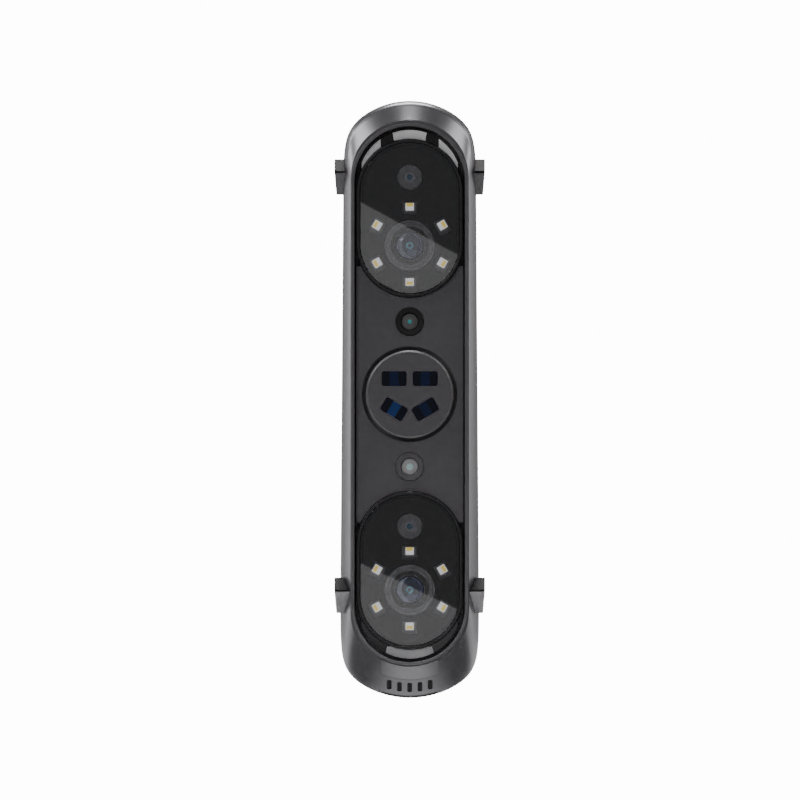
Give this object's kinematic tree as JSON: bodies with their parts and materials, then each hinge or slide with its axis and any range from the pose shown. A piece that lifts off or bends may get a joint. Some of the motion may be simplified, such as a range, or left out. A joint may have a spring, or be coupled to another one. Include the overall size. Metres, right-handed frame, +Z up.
{
  "type": "handheld scanner",
  "caption": "Upright handheld stereo scanner: tall rounded body with two glazed camera windows, a laser disc between them, and a rubber grip with keys behind.",
  "frame": {"origin": "middle of the scanner's overall box", "axes": "+Z up the long axis to the head, +X to the right as seen from the front, the lenses look along -Y"},
  "size_m": [0.0706, 0.086, 0.28],
  "materials": {
    "housing": "satin gunmetal, fine grain",
    "bezel": "satin dark grey",
    "panel": "fine matt grey",
    "insert": "satin grey",
    "gloss_trim": "piano black",
    "window_glass": "polished, lightly tinted",
    "mask": "matt black",
    "lamps": "white ceramic with a phosphor band",
    "barrel": "black anodised look, fine rings",
    "lens": "coated, bluish",
    "eye_ring": "satin black",
    "laser_glass": "polished navy",
    "brass": "turned",
    "alloy": "machined",
    "steel": "dark satin",
    "lug": "satin dark grey",
    "grip_rubber": "fine grained soft rubber",
    "scan_key": "satin blue",
    "keys": "satin grey",
    "circuit_board": "solder mask green"
  },
  "bodies": {
    "body": {"front_housing": "housing", "rear_shell": "housing", "front_bezel": "bezel", "front_panel": "panel", "laser_cover": "panel", "chin_insert": "insert", "upper_window_bezel": "gloss_trim", "lower_window_bezel": "gloss_trim", "upper_end_trim": "gloss_trim", "lower_end_trim": "gloss_trim", "upper_window_glass": "window_glass", "lower_window_glass": "window_glass", "upper_lamp_mask": "mask", "lower_lamp_mask": "mask", "upper_lamp_board": "lamps", "lower_lamp_board": "lamps", "upper_main_lens_barrel": "barrel", "lower_main_lens_barrel": "barrel", "upper_side_lens_barrel": "barrel", "lower_side_lens_barrel": "barrel", "upper_main_lens": "lens", "lower_main_lens": "lens", "upper_side_lens": "lens", "lower_side_lens": "lens", "texture_camera_lens_barrel": "eye_ring", "projector_lens_barrel": "eye_ring", "texture_camera_lens": "lens", "projector_lens": "lens", "upper_left_laser_window": "laser_glass", "upper_right_laser_window": "laser_glass", "lower_left_laser_window": "laser_glass", "lower_right_laser_window": "laser_glass", "upper_left_laser_module": "brass", "upper_right_laser_module": "brass", "lower_left_laser_module": "brass", "lower_right_laser_module": "brass", "laser_block": "alloy", "chassis": "alloy", "port_cup": "mask", "cable_socket": "steel", "upper_left_lug": "lug", "upper_right_lug": "lug", "lower_left_lug": "lug", "lower_right_lug": "lug", "grip_sleeve": "grip_rubber", "keypad_frame": "mask", "keypad_board": "circuit_board", "main_board": "circuit_board", "fan_frame": "mask", "tripod_insert": "brass", "case_screw_1": "steel", "case_screw_2": "steel", "case_screw_3": "steel", "case_screw_4": "steel"},
    "scan_button": {"scan_button": "scan_key"},
    "right_key": {"right_key": "keys"},
    "up_key": {"up_key": "keys"},
    "left_key": {"left_key": "keys"},
    "down_key": {"down_key": "keys"},
    "fan_rotor": {"fan_rotor": "keys"}
  },
  "joints": [
    {"name": "scan_button_press", "type": "slide", "parent": "body", "child": "scan_button", "axis": [0, -1, 0], "range_m": [0, 0.0008], "stiffness_N_per_m": 300},
    {"name": "right_key_press", "type": "slide", "parent": "body", "child": "right_key", "axis": [0, -1, 0], "range_m": [0, 0.0008], "stiffness_N_per_m": 300},
    {"name": "up_key_press", "type": "slide", "parent": "body", "child": "up_key", "axis": [0, -1, 0], "range_m": [0, 0.0008], "stiffness_N_per_m": 300},
    {"name": "left_key_press", "type": "slide", "parent": "body", "child": "left_key", "axis": [0, -1, 0], "range_m": [0, 0.0008], "stiffness_N_per_m": 300},
    {"name": "down_key_press", "type": "slide", "parent": "body", "child": "down_key", "axis": [0, -1, 0], "range_m": [0, 0.0008], "stiffness_N_per_m": 300},
    {"name": "fan_spin", "type": "hinge", "parent": "body", "child": "fan_rotor", "pos_m": [0, -0.0035, -0.101], "axis": [0, 1, 0], "continuous": true}
  ]
}
